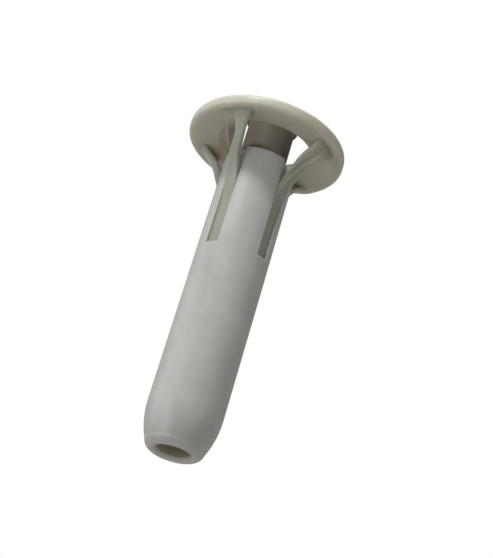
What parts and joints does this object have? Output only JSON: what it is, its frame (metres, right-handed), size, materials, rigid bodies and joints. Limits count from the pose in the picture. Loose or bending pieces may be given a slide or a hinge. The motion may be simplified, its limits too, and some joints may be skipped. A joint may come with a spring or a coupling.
{
  "type": "wall anchor",
  "caption": "Hammer-in wall anchor: round-nosed tubular shank, ring-shaped head carried on flexible flared legs, and a jacketed drive pin seen through the windows between them.",
  "frame": {"origin": "centre of the head ring's bearing land, in the plane of the wall surface", "axes": "+Z along the anchor's axis, out of the wall towards the head; the shank runs along -Z; the four legs lie at 45 degrees to X and Y"},
  "size_m": [0.0222, 0.0222, 0.0514],
  "materials": {
    "nylon_shank": "satin moulded, slightly translucent",
    "nylon_head": "satin moulded, slightly translucent",
    "nylon_legs": "satin moulded, slightly translucent",
    "pin_plastic": "satin moulded",
    "pin_steel": "bright zinc plated"
  },
  "bodies": {
    "shank": {"shank": "nylon_shank", "spring_leg_1": "nylon_legs", "spring_leg_2": "nylon_legs", "spring_leg_3": "nylon_legs", "spring_leg_4": "nylon_legs"},
    "head": {"head_ring": "nylon_head"},
    "pin": {"pin_jacket": "pin_plastic", "pin_core": "pin_steel"}
  },
  "joints": [
    {"name": "head_travel", "type": "slide", "parent": "shank", "child": "head", "axis": [0, 0, -1], "range_m": [0, 0.0015], "stiffness_N_per_m": 900, "deforming": ["spring_leg_1", "spring_leg_2", "spring_leg_3", "spring_leg_4"]},
    {"name": "pin_drive", "type": "slide", "parent": "shank", "child": "pin", "axis": [0, 0, -1], "range_m": [0, 0.003]}
  ]
}
